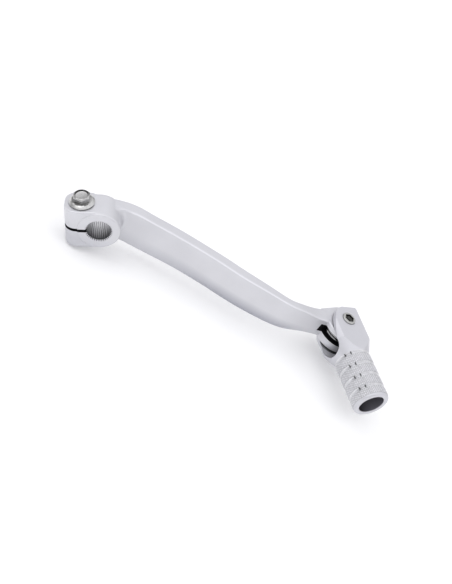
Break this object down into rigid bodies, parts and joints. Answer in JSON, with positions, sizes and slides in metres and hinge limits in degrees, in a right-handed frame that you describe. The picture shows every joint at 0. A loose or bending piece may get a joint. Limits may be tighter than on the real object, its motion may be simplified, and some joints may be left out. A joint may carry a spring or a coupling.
{
  "type": "motorcycle gear shift lever",
  "caption": "Foot gear shift lever: a split clamp hub on a splined bore, a forged bent blade and a sprung folding toe piece.",
  "frame": {"origin": "on the axis of the splined clamp bore, halfway along the hub", "axes": "+X from the hub towards the toe piece, +Y inboard along the bore, +Z parallel to the pivot of the toe piece, on the pinch bolt head's side"},
  "size_m": [0.1908, 0.0737, 0.0314],
  "materials": {
    "arm_silver": "satin silver coat over forged aluminium",
    "tip_silver": "bead-blasted, knurled barrel",
    "zinc_steel": "bright zinc plate",
    "screw_steel": "satin",
    "bush_steel": "ground",
    "washer_bronze": "plain bronze shim",
    "spool_black": "black acetal",
    "spring_black": "black spring wire"
  },
  "bodies": {
    "arm": {"lever_arm": "arm_silver", "pinch_bolt": "zinc_steel", "spring_spool": "spool_black", "tip_return_spring": "spring_black"},
    "tip": {"toe_tip": "tip_silver", "pivot_screw": "screw_steel", "pivot_bush": "bush_steel", "upper_thrust_washer": "washer_bronze", "lower_thrust_washer": "washer_bronze"}
  },
  "joints": [
    {"name": "tip_fold", "type": "hinge", "parent": "arm", "child": "tip", "pos_m": [0.1449, -0.0143, 0], "axis": [0, 0, -1], "range_deg": [0, 50], "stiffness_Nm_per_rad": 0.4, "springref_deg": -45.84, "deforming": ["tip_return_spring"]}
  ]
}
